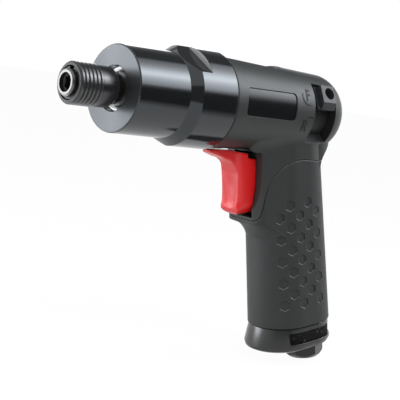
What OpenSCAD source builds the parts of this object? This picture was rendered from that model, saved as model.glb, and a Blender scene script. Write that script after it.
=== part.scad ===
// Pistol-grip pneumatic screwdriver with a quick-change chuck, in millimetres.
// +X points out of the nose, +Y to the tool's left and +Z up.
// The origin is on the barrel axis, at the front face of the front case.

/* [Front case] */
// Radius of the front barrel of the case
nose_r = 19.2; // [18.8:0.1:20]
// Length of the front barrel of the case
nose_len = 27.5; // [25:0.5:30]
// Length of the cone between the barrel and the ring
cone_len = 5; // [4:0.5:6]
// Radius of the ring at the rear of the case
ring_r = 22.2; // [21.8:0.1:23.4]
// Length of the case from its front face to the seam with the body
case_len = 53; // [52:0.5:57]
// Distance across the two wrench flats
flats_af = 38.8; // [38.2:0.1:40.4]
// Turn of the wrench flats about the barrel axis, from the top
flats_clock = 27; // [0:1:90]

/* [Chuck] */
// Distance across the flats of the bit socket
hex_af = 6.4; // [6.2:0.05:6.6]
// Reach of the spindle in front of the case
spindle_out = 25; // [24:0.5:30]
// Radius of the spindle inside the sleeve
spindle_r = 5.9; // [5.8:0.05:6]
// Outer radius of the sleeve over its grip grooves
sleeve_r = 9.2; // [9:0.05:9.4]
// Pull of the sleeve towards the case
sleeve_travel = 3.5; // [2.5:0.1:3.6]
// Number of grip grooves round the sleeve
sleeve_grooves = 6; // [4:1:7]

/* [Clutch and gear] */
// Number of clutch balls
clutch_ball_count = 6; // [4:1:8]
// Module of the gear teeth
gear_module = 0.7; // [0.66:0.01:0.72]

/* [Air motor] */
// Length of the motor cylinder
motor_len = 28; // [26:0.5:31]
// Outer radius of the motor cylinder and its end plates
motor_r = 15.6; // [15.4:0.1:15.9]
// Number of rotor vanes
vane_count = 5; // [4:1:6]

/* [Body] */
// Step down from the ring to the body at the seam
seam_step = 0.8; // [0.5:0.1:1.1]
// Radius of the body where its rear dome starts
body_rear_r = 18.5; // [18.4:0.1:19.4]
// Radius of the rounding of the rear dome
dome_round = 15.5; // [14:0.5:16]
// Depth of the flat strip along the top
strip_depth = 1.4; // [0.8:0.1:1.4]

/* [Grip] */
// Lean of the grip from upright
grip_tilt = 14.5; // [13.8:0.1:15]
// Radius of the grip's rounded front and back at the base
grip_r = 16.7; // [16.4:0.1:17]
// Radius of the same rounds at the neck
neck_r = 15; // [14.7:0.1:15.3]
// Distance between the centres of those two rounds
grip_flat = 8; // [7:0.5:9]
// Length from the barrel axis to the base seam, along the grip
grip_len = 103; // [98:0.5:110]
// Thickness of the rubber sleeve
rubber_t = 2.2; // [1.8:0.1:2.4]
// Across flats of the hexagonal dimples in the rubber
dimple_af = 4.5; // [3.5:0.1:5]
// Depth of the dimples
dimple_depth = 0.45; // [0.3:0.05:0.9]

/* [Trigger] */
// Width of the trigger
trigger_w = 14; // [12.5:0.5:14.5]
// Pull of the trigger
trigger_travel = 5; // [3:0.5:5]

/* [Reverse lever] */
// Turn of the lever from forward to reverse, in degrees
lever_turn = 50; // [40:1:50]
// Width of the lever knob along the barrel
lever_w = 8.2; // [7:0.1:8.6]

/* [Base and air inlet] */
// Lean of the base from level
base_tilt = 12.5; // [11:0.5:14]
// Height of the base cap
base_h = 11.5; // [11:0.5:12.5]
// Across flats of the inlet hexagon
inlet_af = 17; // [16:0.5:18]
// Radius of the threaded inlet hole
thread_r = 5.7; // [5.4:0.05:5.9]

/* [Hidden] */
$fn = 64;

// Fits: running clearance, loose clearance and the width of a moulded groove
run_gap = 0.05;
free_gap = 0.35;
groove_w = 0.4;

// Nose and chuck positions along X
front_wall = 13;
mouth_r = sleeve_r + 0.4;
bush_recess = 2.6;
shaft_r = spindle_r + 1.3;
sleeve_front = spindle_out - 2;
sleeve_back = sleeve_front - 20.5;
sleeve_bore = spindle_r + run_gap;
ring_x = sleeve_front - 1.35;
ring_t = 0.8;
ball_x = spindle_out - 7.5;
ball_r = 1.75;
ball_hold = sleeve_bore - 0.02 - ball_r;
ball_rise = 0.8;
ball_ratio = ball_rise / sleeve_travel;
seat_x = sleeve_back - 0.3;
seat_t = 0.8;
pocket_x = sleeve_front - 11;
pocket_r = shaft_r + 0.4;
socket_depth = 20;
lead_r = hex_af / 2 + 0.95;
lead_depth = 1.8;

// Clutch positions along X
washer_t = 2;
flange_x = -front_wall - washer_t;
flange_t = 5.5;
flange_r = nose_r - 4.6;
clutch_gap = 2.4;
clutch_ball_r = 2.25;
clutch_pitch_r = 10.2;
cam_x = flange_x - flange_t - clutch_gap;
cam_t = 4.6;
shaft_in_r = 5;

// Teeth of the sun pinion and of each planet
sun_teeth = 12;
planet_teeth = 15;

// Gear positions along X, counted from the seam
seam_x = -case_len;
gear_front = seam_x + 7;
gear_back = seam_x - 3;
ring_teeth = sun_teeth + 2 * planet_teeth;
centre_r = gear_module * (sun_teeth + planet_teeth) / 2;
body_front_r = ring_r - seam_step;
spigot_r = body_front_r - 2.2;
ring_out_r = spigot_r - 1;
carrier_x = gear_front - 0.5;
carrier_t = 4.5;
carrier_r = centre_r + 4.1;
pin_r = 2;
nut_x = carrier_x + carrier_t + 2.5;
nut_t = 3.5;
tooth_thin = 0.2;

// Motor positions along X
plate_back = gear_back - 4;
motor_front = plate_back - 4;
motor_back = motor_front - motor_len;
rear_plate_back = motor_back - 9;
bore_r = motor_r - 3.2;
offset_z = 1.1;
rotor_r = bore_r - offset_z - 0.3;
journal_r = 4;
nose_shaft_r = 2.2;
vane_t = 1.9;
bearing_r = 8;
bearing_w = 5;
race_in_r = 5.2;
race_out_r = 6.7;
race_ball_r = 1.2;
race_pitch_r = (race_in_r + race_out_r) / 2;
race_balls = 8;
front_bearing_x = plate_back - 2;
rear_bearing_x = rear_plate_back + 0.5;

// Reverse valve and lever
valve_r = 13.25;
valve_front = rear_plate_back - 0.4;
valve_back = valve_front - 17.1;
pivot_r = 4;
slot_front = valve_front - 1.6;
slot_back = valve_back + 1.5;
lever_x = slot_back + lever_w / 2 + 0.4;
knob_half = 6;
knob_out = body_rear_r + 0.7;
knob_taper = knob_half / (knob_out - 1.2);
knob_angle = atan(knob_taper);
rib_out = knob_out - 2.6;
knob_hole_r = 0.35 * lever_w;
lever_rest = 62.3;
slot_start = lever_rest - knob_angle - 1.2;
slot_end = lever_rest + lever_turn + knob_angle + 1.2;
detent_r = 9;
detent_ball_r = 1.5;

// Body
dome_start = valve_back + 3.6;
dome_end = dome_start - dome_round;
plate_sink = 0.4;
plate_t = 0.6;

// Grip frame: origin on the barrel axis, local Z up along the grip
grip_x = seam_x - 45.7;
half = grip_flat / 2;
neck_front = 27;
neck_round = 6;
neck_half = trigger_w / 2 + 5.5;
neck_a = [half, 0];
neck_b = [neck_front - neck_round, neck_half - neck_round];
neck_a_r = neck_r - 0.1;
neck_n = tangent_normal(neck_a, neck_b, neck_a_r, neck_round);
wall_back = 4;
wall_drop = 22;
wall_r = (wall_drop * wall_drop + wall_back * wall_back) / (2 * wall_back);
wall_sweep = asin(wall_drop / wall_r);
grip_top = -60.5;
dimple_top = -48;
lip_r = 12;
// How far flat sides lie inside the rounds that they join
hair = 0.03;
seam_c = [grip_x - 7.3, -41.3];
seam_r = 20;
flare_r = 18;
flare_z = -31;
hump_x = -12.6;
hump_r = 13;

// Trigger, in a frame that leans a little less than the grip
trigger_tilt = grip_tilt - 3;
pad_front = 31.8;
pad_nose = pad_front + 0.9;
toe_r = 7;
heel_r = 4;
side_r = 3.5;
end_r = 4.5;
pad_back = 19;
pad_low = -45.8;
pocket_back = pad_back - trigger_travel * cos(trigger_tilt) - 0.4;
pocket_low = pad_low - trigger_travel * sin(trigger_tilt) - 0.4;

// Throttle along X
throttle_z = -35;
chamber_r = 7;
bush_front = grip_x + (pocket_back + (throttle_z - chamber_r) * sin(trigger_tilt)) / cos(trigger_tilt);
bush_back = bush_front - 11;
chamber_back = bush_back - 15.5;
rod_r = 1.9;

// Base frame: origin where the grip axis meets the base seam
base_c = [grip_x - grip_len * sin(grip_tilt), 0, -grip_len * cos(grip_tilt)];
inlet_back = -half - 5.5;
shank_r = 7;
// Thickness of the levels that shape the base cap
ring_skin = 0.01;
hex_h = 7.8;
hex_low = -base_h - 1 - hex_h;
thread_len = 9;
screen_r = thread_r - 0.7;
screen_t = 1;
slot_top = -2.2;
slot_h = 5.3;
slot_ahead = 8.5;
muffler_in = grip_r - 3.5;

// Shapes along the barrel axis
module along_x(x) translate([x, 0, 0]) rotate([0, 90, 0]) children();
module rod_x(r, x0, x1) along_x(min(x0, x1)) cylinder(r = r, h = abs(x1 - x0));
module cone_x(r0, x0, r1, x1) along_x(x0) cylinder(r1 = r0, r2 = r1, h = x1 - x0);
module tube_x(ro, ri, x0, x1) {
    difference() {
        rod_x(ro, x0, x1);
        rod_x(ri, min(x0, x1) - 1, max(x0, x1) + 1);
    }
}
// A profile with radius across and X up, turned about the barrel axis
module turned_x() rotate([0, 90, 0]) rotate_extrude() children();
// Places a child at an angle from the top towards the tool's left
module clocked(a) rotate([-a, 0, 0]) children();
// A side view outline in X and Z, made solid across Y
module side_solid(w) rotate([90, 0, 0]) linear_extrude(w, center = true) children();
// A straight drilling between two points in the plane of symmetry, moved aside by y
module drill(p, q, r, y = 0) {
    d = [q[0] - p[0], q[1] - p[1]];
    translate([p[0], y, p[1]]) rotate([0, atan2(d[0], d[1]), 0]) cylinder(r = r, h = norm(d));
}
module in_grip() translate([grip_x, 0, 0]) rotate([0, grip_tilt, 0]) children();
module in_trigger() translate([grip_x, 0, 0]) rotate([0, trigger_tilt, 0]) children();
module in_base() translate(base_c) rotate([0, base_tilt, 0]) children();

// Two circles on a line with their common tangents
function tangent_normal(a, b, ra, rb) = let (
    d = b - a,
    t = atan2(d[1], d[0]) + acos((ra - rb) / norm(d))
) [cos(t), sin(t)];
module egg(xa, ra, xb, rb) {
    n = tangent_normal([xa, 0], [xb, 0], ra, rb);
    translate([xa, 0]) circle(ra);
    translate([xb, 0]) circle(rb);
    polygon([
        [xa + ra * n[0], ra * n[1]], [xb + rb * n[0], rb * n[1]],
        [xb + rb * n[0], -rb * n[1]], [xa + ra * n[0], -ra * n[1]]
    ]);
}
module stadium(r, flat) {
    translate([-flat / 2, 0]) circle(r);
    translate([flat / 2, 0]) circle(r);
    square([flat, 2 * r], center = true);
}

// A coil spring standing on the XY plane, swept as a round wire
module coil(r, wire, length, turns, per = 14, sides = 8) {
    rings = round(turns * per);
    points = [
        for (i = [0:rings]) let (a = 360 * i / per, z = wire + (length - 2 * wire) * i / rings)
            for (j = [0:sides - 1]) let (b = 360 * j / sides, d = r + wire * cos(b))
                [d * cos(a), d * sin(a), z + wire * sin(b)]
    ];
    side = [
        for (i = [0:rings - 1], j = [0:sides - 1])
            let (k = i * sides, n = (j + 1) % sides)
                each [[k + j, k + sides + n, k + n], [k + j, k + sides + j, k + sides + n]]
    ];
    start = [for (j = [0:sides - 1]) j];
    finish = [for (j = [sides - 1:-1:0]) rings * sides + j];
    polyhedron(points, concat([start, finish], side), convexity = 8);
}

// Involute gear outlines; thin takes play off each tooth, and a minus value adds it
function involute(a) = tan(a) * 180 / PI - a;
function tooth_half(r, rp, rb, n, thin) =
    90 / n - thin / 2 / rp * 180 / PI + involute(20) - involute(acos(min(1, rb / r)));
function gear_outline(n, tip, root, thin) = let (
    rp = gear_module * n / 2,
    rb = rp * cos(20),
    r0 = max(rb, rp - root),
    r1 = rp + tip,
    radii = [for (i = [0:3]) r0 + (r1 - r0) * i / 3],
    low = rp - root < rb - 0.001 ? [rp - root] : []
) [
    for (k = [0:n - 1]) each concat(
        [for (r = low) let (a = 360 * k / n - tooth_half(r0, rp, rb, n, thin)) r * [cos(a), sin(a)]],
        [for (r = radii) let (a = 360 * k / n - tooth_half(r, rp, rb, n, thin)) r * [cos(a), sin(a)]],
        [for (i = [3:-1:0])
            let (r = radii[i], a = 360 * k / n + tooth_half(r, rp, rb, n, thin)) r * [cos(a), sin(a)]],
        [for (r = low) let (a = 360 * k / n + tooth_half(r0, rp, rb, n, thin)) r * [cos(a), sin(a)]]
    )
];
tooth_tip = 0.85 * gear_module;
tooth_root = 1.2 * gear_module;

// Front case

module wrench_flat() {
    translate([-nose_len - cone_len - 6, -ring_r, flats_af / 2]) cube([case_len, 2 * ring_r, ring_r]);
}
module front_case() color("#1b1c1e") difference() {
    union() {
        difference() {
            turned_x() polygon([
                [0, seam_x], [ring_r - 0.7, seam_x], [ring_r, seam_x + 1],
                [ring_r, -nose_len - cone_len], [nose_r, -nose_len],
                [nose_r, 0], [0, 0]
            ]);
            clocked(flats_clock) wrench_flat();
            clocked(flats_clock + 180) wrench_flat();
        }
        rod_x(spigot_r, plate_back + 0.2, seam_x + 0.2);
    }
    rod_x(mouth_r, -front_wall - 1, 1);
    cone_x(mouth_r, -0.6, mouth_r + 0.7, 0.1);
    rod_x(nose_r - 3.6, gear_front - 1, -front_wall);
    rod_x(ring_out_r, plate_back - 1, gear_front);
}
module nose_bush() color("#d7d8da") difference() {
    union() {
        rod_x(mouth_r, -front_wall - 0.5, -bush_recess);
        rod_x(mouth_r + 1.8, -front_wall - 1, -front_wall);
    }
    rod_x(shaft_r + run_gap, -front_wall - 2, 0);
    cone_x(shaft_r, -bush_recess - 1, mouth_r - 0.6, -bush_recess + 0.01);
}
module thrust_washer() color("#b98d4a") {
    tube_x(flange_r - 2, shaft_r + 0.3, flange_x, -front_wall - 1);
}

// Chuck and spindle

module spindle() color("#c9cacc") difference() {
    turned_x() polygon([
        [0, flange_x - flange_t], [flange_r, flange_x - flange_t], [flange_r, flange_x],
        [shaft_r, flange_x], [shaft_r, seat_x], [spindle_r, seat_x],
        [spindle_r, ring_x], [spindle_r - 0.6, ring_x],
        [spindle_r - 0.6, ring_x + ring_t], [spindle_r, ring_x + ring_t],
        [spindle_r, spindle_out - 0.7], [spindle_r - 0.7, spindle_out], [0, spindle_out]
    ]);
    along_x(spindle_out - socket_depth) cylinder(d = hex_af / cos(30), h = socket_depth + 1, $fn = 6);
    rod_x(lead_r, spindle_out - lead_depth, spindle_out + 1);
    cone_x(hex_af / 2 - 0.2, spindle_out - lead_depth - 0.9, lead_r - 0.2, spindle_out - lead_depth + 0.01);
    for (s = [-1, 1])
        translate([ball_x, 0, 0]) rotate([-90 * s, 0, 0]) cylinder(r = ball_r + run_gap, h = spindle_r + 1);
    rod_x(shaft_in_r, flange_x - flange_t - 1, flange_x - 1.9);
    clutch_seats(flange_x - flange_t);
}
module chuck_sleeve() color("#222326") turned_x() difference() {
    polygon([
        [0, sleeve_back], [sleeve_r - 1.2, sleeve_back], [sleeve_r - 0.45, sleeve_back + 1.6],
        [sleeve_r - 0.35, sleeve_back + 2.4], [sleeve_r - 0.35, sleeve_front - 10.6],
        [sleeve_r, sleeve_front - 10.4], [sleeve_r, sleeve_front - 0.9],
        [sleeve_r - 0.9, sleeve_front], [0, sleeve_front]
    ]);
    for (i = [0:sleeve_grooves - 1])
        translate([sleeve_r + 0.12, sleeve_front - 2 - i * 8.2 / sleeve_grooves]) circle(0.5, $fn = 24);
    polygon([
        [-1, sleeve_back - 1], [pocket_r, sleeve_back - 1], [pocket_r, pocket_x],
        [sleeve_bore, pocket_x], [sleeve_bore, ball_x - 0.4],
        [sleeve_bore + 0.05, ball_x - 0.2],
        [sleeve_bore + 0.1 + ball_ratio * (ring_x - ball_x), ring_x],
        [spindle_r + 1.5, ring_x], [spindle_r + 1.5, sleeve_front + 1], [-1, sleeve_front + 1]
    ]);
}
module chuck_spring() color("#a9abad") {
    along_x(seat_x + seat_t) coil((spindle_r + pocket_r) / 2, 0.45, pocket_x - seat_x - seat_t, 4.5);
}
module chuck_spring_seat() color("#8c8e90") {
    tube_x(pocket_r - 0.25, spindle_r, seat_x, seat_x + seat_t);
}
module chuck_ring() color("#9a9c9e") difference() {
    tube_x(spindle_r + 1.1, spindle_r - 0.6, ring_x, ring_x + ring_t);
    translate([ring_x - 1, -1.5, 0]) cube([ring_t + 2, 3, spindle_r + 3]);
}
module bit_ball(side) color("#dcdddf") {
    translate([ball_x, side * ball_hold, 0]) sphere(ball_r);
}
module bit_ball_left() bit_ball(1);
module bit_ball_right() bit_ball(-1);

// Torque clutch

module clutch_seats(face) {
    for (i = [0:clutch_ball_count - 1])
        clocked(360 * i / clutch_ball_count)
            translate([face == cam_x ? face + clutch_gap / 2 : face - clutch_gap / 2, 0, clutch_pitch_r])
                sphere(clutch_ball_r);
}
module clutch_balls() color("#dcdddf") clutch_seats(cam_x);
module clutch_cam() color("#8f9194") difference() {
    tube_x(flange_r - 1, shaft_in_r, cam_x - cam_t, cam_x);
    clutch_seats(cam_x);
}
module clutch_spring() color("#a9abad") {
    along_x(nut_x + nut_t) coil(9.3, 1.1, cam_x - cam_t - nut_x - nut_t, 3);
}
module clutch_nut() color("#77797c") difference() {
    tube_x(flange_r - 2, shaft_in_r, nut_x, nut_x + nut_t);
    for (i = [0:3])
        clocked(45 + 90 * i) translate([0, 0, flange_r - 2]) rod_x(1.5, nut_x - 1, nut_x + nut_t + 1);
}

// Planetary gear

module at_planet(k) clocked(120 * (k - 1)) translate([0, 0, centre_r]) children();
module planet_carrier() color("#9fa1a4") difference() {
    union() {
        rod_x(carrier_r, carrier_x, carrier_x + carrier_t);
        rod_x(shaft_in_r, carrier_x, flange_x - 2);
        rod_x(shaft_in_r + 3, carrier_x, nut_x);
    }
    for (k = [1:3]) at_planet(k) rod_x(pin_r, carrier_x - 1, carrier_x + carrier_t - 0.6);
    rod_x(gear_module * sun_teeth / 2 + 1.2, carrier_x - 1, carrier_x + 1.2);
}
module planet_pins() color("#c6c7c9") {
    for (k = [1:3]) at_planet(k) rod_x(pin_r, gear_back + 1, carrier_x + carrier_t - 0.6);
}
// A gear with a tooth pointing up, standing along X
module toothed(n, x0, x1) along_x(x0) rotate(180) linear_extrude(x1 - x0)
    polygon(gear_outline(n, tooth_tip, tooth_root, tooth_thin));
module planet_gear(k) color("#8a8c8f") at_planet(k) difference() {
    toothed(planet_teeth, gear_back + 1.5, gear_front - 1);
    rod_x(pin_r + run_gap, gear_back, gear_front);
}
module planet_gear_1() planet_gear(1);
module planet_gear_2() planet_gear(2);
module planet_gear_3() planet_gear(3);
module ring_gear() color("#6d6f72") difference() {
    rod_x(ring_out_r, gear_back, gear_front);
    along_x(gear_back - 1) rotate(180) linear_extrude(gear_front - gear_back + 2)
        polygon(gear_outline(ring_teeth, tooth_root, tooth_tip, -tooth_thin));
}
module sun_pinion() color("#a4a6a9") difference() {
    toothed(sun_teeth, gear_back + 1.5, gear_front - 1);
    rod_x(nose_shaft_r, gear_back, gear_front);
}

// Air motor

module front_end_plate() color("#7d8084") difference() {
    union() {
        rod_x(ring_out_r, plate_back, gear_back);
        rod_x(motor_r, motor_front, plate_back + 0.1);
    }
    rod_x(bearing_r, front_bearing_x, gear_back + 1);
    rod_x(journal_r + 1.2, motor_front - 1, gear_back);
}
module motor_cylinder() color("#8d9094") difference() {
    rod_x(motor_r, motor_back, motor_front);
    translate([0, 0, offset_z]) rod_x(bore_r, motor_back - 1, motor_front + 1);
    // Exhaust ports through the lower wall
    for (i = [-1:1])
        translate([(motor_front + motor_back) / 2 + 7 * i, 0, -motor_r - 1])
            cylinder(r = 2, h = motor_r - bore_r + 5);
}
module rear_end_plate() color("#7d8084") difference() {
    rod_x(motor_r, rear_plate_back, motor_back);
    rod_x(bearing_r, rear_plate_back - 1, rear_bearing_x + bearing_w);
    rod_x(journal_r + 1.2, rear_plate_back, motor_back + 1);
    // Forward and reverse air ports
    for (a = [-50, 50])
        clocked(a) translate([0, 0, 11.2]) rod_x(1.8, rear_plate_back - 1, motor_back + 1);
}
module rotor() color("#a9abae") difference() {
    union() {
        rod_x(rotor_r, motor_back + 0.2, motor_front - 0.2);
        rod_x(journal_r, rear_plate_back + 0.2, front_bearing_x + bearing_w);
        rod_x(nose_shaft_r, motor_front, gear_front - 1);
    }
    for (i = [0:vane_count - 1])
        clocked(360 * i / vane_count)
            translate([motor_back, -vane_t / 2 - 0.05, journal_r + 1.6])
                cube([motor_len, vane_t + 0.1, rotor_r]);
}
module rotor_vanes() color("#5b4630") {
    for (i = [0:vane_count - 1])
        clocked(360 * i / vane_count)
            translate([motor_back + 0.3, -vane_t / 2, journal_r + 1.6])
                cube([motor_len - 0.6, vane_t, rotor_r - journal_r - 1.75]);
}
module race(ro, ri, x) {
    turned_x() difference() {
        translate([ri, x]) square([ro - ri, bearing_w]);
        translate([race_pitch_r, x + bearing_w / 2]) circle(race_ball_r + run_gap);
    }
}
module race_ball_set(x) {
    for (i = [0:race_balls - 1])
        clocked(360 * i / race_balls) translate([x + bearing_w / 2, 0, race_pitch_r]) sphere(race_ball_r);
}
module front_bearing_outer() color("#b9bbbd") race(bearing_r, race_out_r, front_bearing_x);
module front_bearing_inner() color("#b9bbbd") race(race_in_r, journal_r, front_bearing_x);
module front_bearing_balls() color("#dcdddf") race_ball_set(front_bearing_x);
module rear_bearing_outer() color("#b9bbbd") race(bearing_r, race_out_r, rear_bearing_x);
module rear_bearing_inner() color("#b9bbbd") race(race_in_r, journal_r, rear_bearing_x);
module rear_bearing_balls() color("#dcdddf") race_ball_set(rear_bearing_x);

// Body

// The tapered barrel with its rounded rear, moved in or out by grow
module barrel_form(grow = 0) turned_x() {
    polygon([
        [0, seam_x], [body_front_r + grow, seam_x], [body_rear_r + grow, dome_start], [0, dome_start]
    ]);
    intersection() {
        union() {
            translate([body_rear_r - dome_round, dome_start]) circle(dome_round + grow);
            translate([0, dome_end - grow]) square([body_rear_r - dome_round, dome_round + grow]);
        }
        translate([0, dome_end - grow]) square([body_rear_r + grow, dome_round + grow]);
    }
}
// Radius of the grip's rounds at a height in the grip frame
function round_at(z) = neck_r + (grip_r - neck_r) * (z + 22) / (22 - grip_len);
// Points along an arc
function arc(c, r, a, b, n) = [for (i = [0:n]) let (t = a + (b - a) * i / n) c + r * [cos(t), sin(t)]];

// The tapered stem of the grip: two cones with flat sides between them
module grip_stem(inset) {
    low = -grip_len - 8;
    top = -12;
    r0 = round_at(low) - inset;
    r1 = round_at(top) - inset;
    translate([0, 0, low]) {
        for (s = [-1, 1])
            translate([s * half, 0, 0]) cylinder(r1 = r0, r2 = r1, h = top - low);
        // The flats lie a hair inside the cones
        translate([half, 0, 0]) rotate([90, 0, -90]) linear_extrude(grip_flat)
            polygon([[hair - r0, 0], [r0 - hair, 0], [r1 - hair, top - low], [hair - r1, top - low]]);
    }
}
// Outline of the neck: the stem's front round widened to two corners beside the trigger
module neck_outline(inset) {
    ra = neck_a_r - inset;
    rb = neck_round - inset;
    translate(neck_a) circle(ra);
    for (s = [-1, 1]) translate([neck_b[0], s * neck_b[1]]) circle(rb);
    p = neck_a + (ra - hair) * neck_n;
    q = neck_b + (rb - hair) * neck_n;
    f = neck_b[0] + rb - hair;
    polygon([p, q, [f, neck_b[1]], [f, -neck_b[1]], [q[0], -q[1]], [p[0], -p[1]]]);
}
module grip_form(inset) in_grip() {
    grip_stem(inset);
    difference() {
        translate([0, 0, grip_top]) linear_extrude(-grip_top - 10) neck_outline(inset);
        // Round hollow under the lip below the trigger
        translate([half, 0, grip_top]) rotate_extrude()
            translate([round_at(grip_top) + lip_r, 0]) circle(lip_r + 0.2 + inset);
        // The neck's front edges sweep forward towards the lip
        rotate([90, 0, 0]) linear_extrude(60, center = true) polygon(concat(
            [[neck_front - wall_back, 5]],
            arc([neck_front - wall_back + wall_r, -20], wall_r, 180, 180 + wall_sweep, 8),
            [[60, -20 - wall_drop], [60, 5]]
        ));
    }
    // Flare between the back of the grip and the dome, no wider than a round hump
    intersection() {
        translate([-half, 0, flare_z]) rotate_extrude() difference() {
            square([round_at(flare_z) - 0.2 - inset + flare_r, 20]);
            translate([round_at(flare_z) - 0.2 - inset + flare_r, 0]) circle(flare_r);
        }
        translate([hump_x, 0, flare_z - 1]) cylinder(r = hump_r - inset, h = 20.5);
    }
}
// Side view of what the rubber covers
module rubber_zone(grow) side_solid(60) polygon(concat(
    [[seam_c[0] - 90, seam_c[1] + seam_r + grow]],
    arc(seam_c, seam_r + grow, 90, 0, 16),
    arc([seam_c[0] + seam_r + 6.5, -48.5], 6.5 - grow, 180, 270, 6),
    [[seam_c[0] + 90, -55 + grow], [seam_c[0] + 90, -180], [seam_c[0] - 90, -180]]
));
module below_base(lift) in_base() translate([-60, -40, lift - 60]) cube([120, 80, 60]);
module top_strip() {
    lean = atan2(body_front_r - body_rear_r, seam_x - dome_start);
    translate([seam_x, 0, body_front_r - strip_depth]) rotate([0, -lean, 0]) linear_extrude(5) {
        translate([-30, -9]) square([31, 18]);
        translate([-30, 0]) circle(9);
    }
}
module plate_zone(grow) translate([0, 17.5, 0]) side_solid(13) translate([seam_x - 22, 2.2]) {
    square([27.5 + 2 * grow, 12.3 + 2 * grow], center = true);
    square([31.5 + 2 * grow, 8.3 + 2 * grow], center = true);
    for (a = [-1, 1], b = [-1, 1]) translate([a * (13.75 + grow), b * (4.15 + grow)]) circle(2);
}
module trigger_pocket() intersection() {
    in_trigger() translate([pocket_back, -trigger_w / 2 - free_gap, pocket_low])
        cube([40, trigger_w + 2 * free_gap, 70]);
    translate([grip_x, -20, -80]) cube([60, 40, 80 - body_front_r + 0.3]);
}
module air_bores() {
    rod_x_at(chamber_r, chamber_back, bush_front + 4, throttle_z);
    // Supply from the inlet up to the throttle chamber
    drill([base_c[0] + inlet_back, base_c[2] + 14], [chamber_back + 6, throttle_z], 3.5);
    // Feed from the throttle up to the motor
    translate([bush_back + 5, 0, throttle_z]) cylinder(r = 2.6, h = -throttle_z - motor_r + 2);
    // Exhaust down both sides of the grip
    for (s = [-1, 1]) exhaust_bore(s);
}
module exhaust_bore(s) in_grip() translate([0, s * 9.8, -grip_len - 4.5])
    cylinder(r = 2.1, h = grip_len - 6.5);
module rod_x_at(r, x0, x1, z) translate([0, 0, z]) rod_x(r, x0, x1);
module inlet_bore(r, z0, z1) in_base() translate([inlet_back, 0, z0]) cylinder(r = r, h = z1 - z0);

module housing() color("#3b3f40") difference() {
    union() {
        barrel_form();
        difference() {
            grip_form(0);
            rubber_zone(groove_w / 2);
        }
        grip_form(rubber_t);
    }
    below_base(0);
    // Bores for the case's spigot, the motor, the reverse valve and its pivot
    rod_x(spigot_r, plate_back, seam_x + 1);
    rod_x(motor_r, rear_plate_back, plate_back + 1);
    rod_x(valve_r + run_gap, valve_back - 0.3, rear_plate_back + 1);
    rod_x(pivot_r + run_gap, valve_back - 4, valve_back);
    // Window that the reverse lever swings in
    along_x(slot_back) linear_extrude(slot_front - slot_back)
        polygon(concat([[0, 0]], arc([0, 0], 40, 180 - slot_start, 180 - slot_end, 4)));
    // Track of the detent ball
    turned_x() translate([detent_r, valve_back]) circle(detent_ball_r + 0.1);
    top_strip();
    intersection() {
        plate_zone(run_gap);
        difference() {
            barrel_form(3);
            barrel_form(-plate_sink - plate_t);
        }
    }
    trigger_pocket();
    air_bores();
    inlet_bore(shank_r, -1, 10);
}
module side_plate() color("#24282a") intersection() {
    plate_zone(0);
    difference() {
        barrel_form(-plate_sink);
        barrel_form(-plate_sink - plate_t);
    }
}
module rubber_grip() color("#363939") difference() {
    intersection() {
        grip_form(0);
        rubber_zone(-groove_w / 2);
    }
    grip_form(rubber_t);
    below_base(groove_w);
    trigger_pocket();
    in_grip() for (s = [-1, 1], c = [0:4], r = [0:4]) {
        z = dimple_top - 10.7 * r + 5.35 * (c % 2);
        if (c + r > 0) on_round(14.5 - 5.25 * c, z, s) dimple();
        else on_neck(0.55, z, s) dimple();
    }
}
module dimple() rotate([90, 30, 0])
    cylinder(d = dimple_af / cos(30), h = 2 * dimple_depth, center = true, $fn = 6);
// Places a child on the neck's flat side, at a share of the way to its front corner
module on_neck(share, z, s) {
    p = neck_a + neck_a_r * neck_n;
    m = p + share * (neck_b + neck_round * neck_n - p);
    translate([m[0], s * m[1], z]) rotate(s * (atan2(neck_n[1], neck_n[0]) - 90)) children();
}
// Places a child on the grip's side, a distance round it from the middle of the flat
module on_round(p, z, s) {
    e = max(-half, min(half, p));
    r = round_at(z);
    turn = (e - p) / r * 180 / PI;
    translate([e, 0, z]) rotate(turn * s) translate([0, s * r, 0]) children();
}

// Reverse valve and lever

module reverse_valve() color("#85888b") difference() {
    union() {
        rod_x(valve_r, valve_back, valve_front);
        rod_x(pivot_r, valve_back - 3.5, valve_back + 1);
    }
    // Air chamber and the two ports it feeds
    rod_x(bearing_r, valve_front - 6, valve_front + 1);
    for (a = [-50, 50])
        clocked(a) translate([0, 0, 11.2]) rod_x(1.8, valve_front - 5, valve_front + 1);
    clocked(lever_rest) translate([lever_x, 0, 6]) cylinder(r = 2.5, h = valve_r);
    clocked(180) translate([0, 0, detent_r]) rod_x(detent_ball_r + 0.05, valve_back - 1, valve_back + 6);
}
module reverse_lever() color("#55585a") clocked(lever_rest) translate([lever_x, 0, 0]) {
    difference() {
        union() {
            // Knob with a flat face and a sloped lower end
            translate([-lever_w / 2, 0, 0]) rotate([90, 0, 90]) linear_extrude(lever_w) polygon([
                [-10.2 * knob_taper, 10.2], [-knob_half, knob_out - 1.2], [0.4 - knob_half, knob_out],
                [knob_half - 3.2, knob_out], [knob_half - 0.35, knob_out - 2.3], [10.2 * knob_taper, 10.2]
            ]);
            // Low rib in front of the knob
            translate([lever_w / 2 - 0.1, 0, 0]) rotate([90, 0, 90]) linear_extrude(2.4) polygon([
                [-10.2 * knob_taper, 10.2], [-rib_out * knob_taper, rib_out],
                [rib_out * knob_taper, rib_out], [10.2 * knob_taper, 10.2]
            ]);
        }
        rod_x(valve_r, -20, 20);
        translate([-0.09 * lever_w, -1.8, knob_out - 4]) cylinder(r = knob_hole_r, h = 6);
    }
    // Peg pressed into the valve
    translate([0, 0, 6]) cylinder(r = 2.5, h = valve_r - 5);
}
module detent_ball() color("#dcdddf") {
    clocked(180) translate([valve_back, 0, detent_r]) sphere(detent_ball_r);
}
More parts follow.
